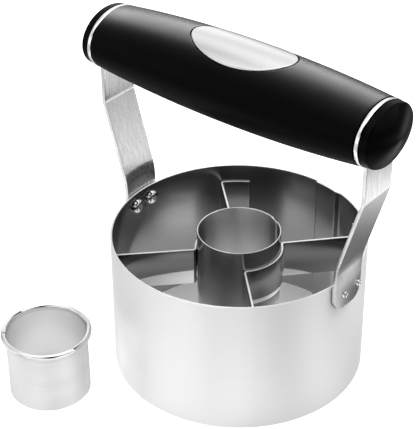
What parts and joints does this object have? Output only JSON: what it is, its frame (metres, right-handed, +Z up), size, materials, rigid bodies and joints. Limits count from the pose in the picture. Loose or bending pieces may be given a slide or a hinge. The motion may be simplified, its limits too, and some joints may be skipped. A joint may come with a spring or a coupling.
{
  "type": "doughnut cutter",
  "caption": "Steel ring cutter for doughnuts, with a centre tube held by bent strips, strap arms, a barrel grip and a small loose cutter beside it.",
  "frame": {"origin": "middle of the whole set's box, on the table the set stands on", "axes": "+Z up; +X along the grip, towards the arm that is nearer in the picture; +Y away from the small loose cutter"},
  "size_m": [0.1234, 0.1194, 0.124],
  "materials": {
    "satin_steel": "satin, nearly white in soft light",
    "mirror_steel": "bright rolled, softly mirrored",
    "brushed_steel": "brushed along the strap",
    "bright_trim": "polished to satin",
    "soft_black": "soft satin",
    "gloss_black": "smooth semi-gloss",
    "core_plastic": "plain moulded"
  },
  "bodies": {
    "ring_and_grip": {"ring_wall": "satin_steel", "centre_tube": "mirror_steel", "divider_strip_right": "mirror_steel", "divider_strip_left": "mirror_steel", "arm_right": "brushed_steel", "arm_left": "brushed_steel", "rivet_right_front": "mirror_steel", "rivet_right_back": "mirror_steel", "rivet_left_front": "mirror_steel", "rivet_left_back": "mirror_steel", "grip_skin": "soft_black", "grip_core": "core_plastic", "oval_plate": "bright_trim", "trim_band_right": "bright_trim", "trim_band_left": "bright_trim", "end_cap_right": "gloss_black", "end_cap_left": "gloss_black", "arm_screw_right": "satin_steel", "arm_screw_left": "satin_steel"},
    "loose_cutter": {"small_cutter": "satin_steel", "small_cutter_wire": "satin_steel"}
  },
  "joints": [
    {"name": "loose_cutter_lift", "type": "slide", "parent": "ring_and_grip", "child": "loose_cutter", "axis": [0, 0, 1], "range_m": [0, 0.06]}
  ]
}
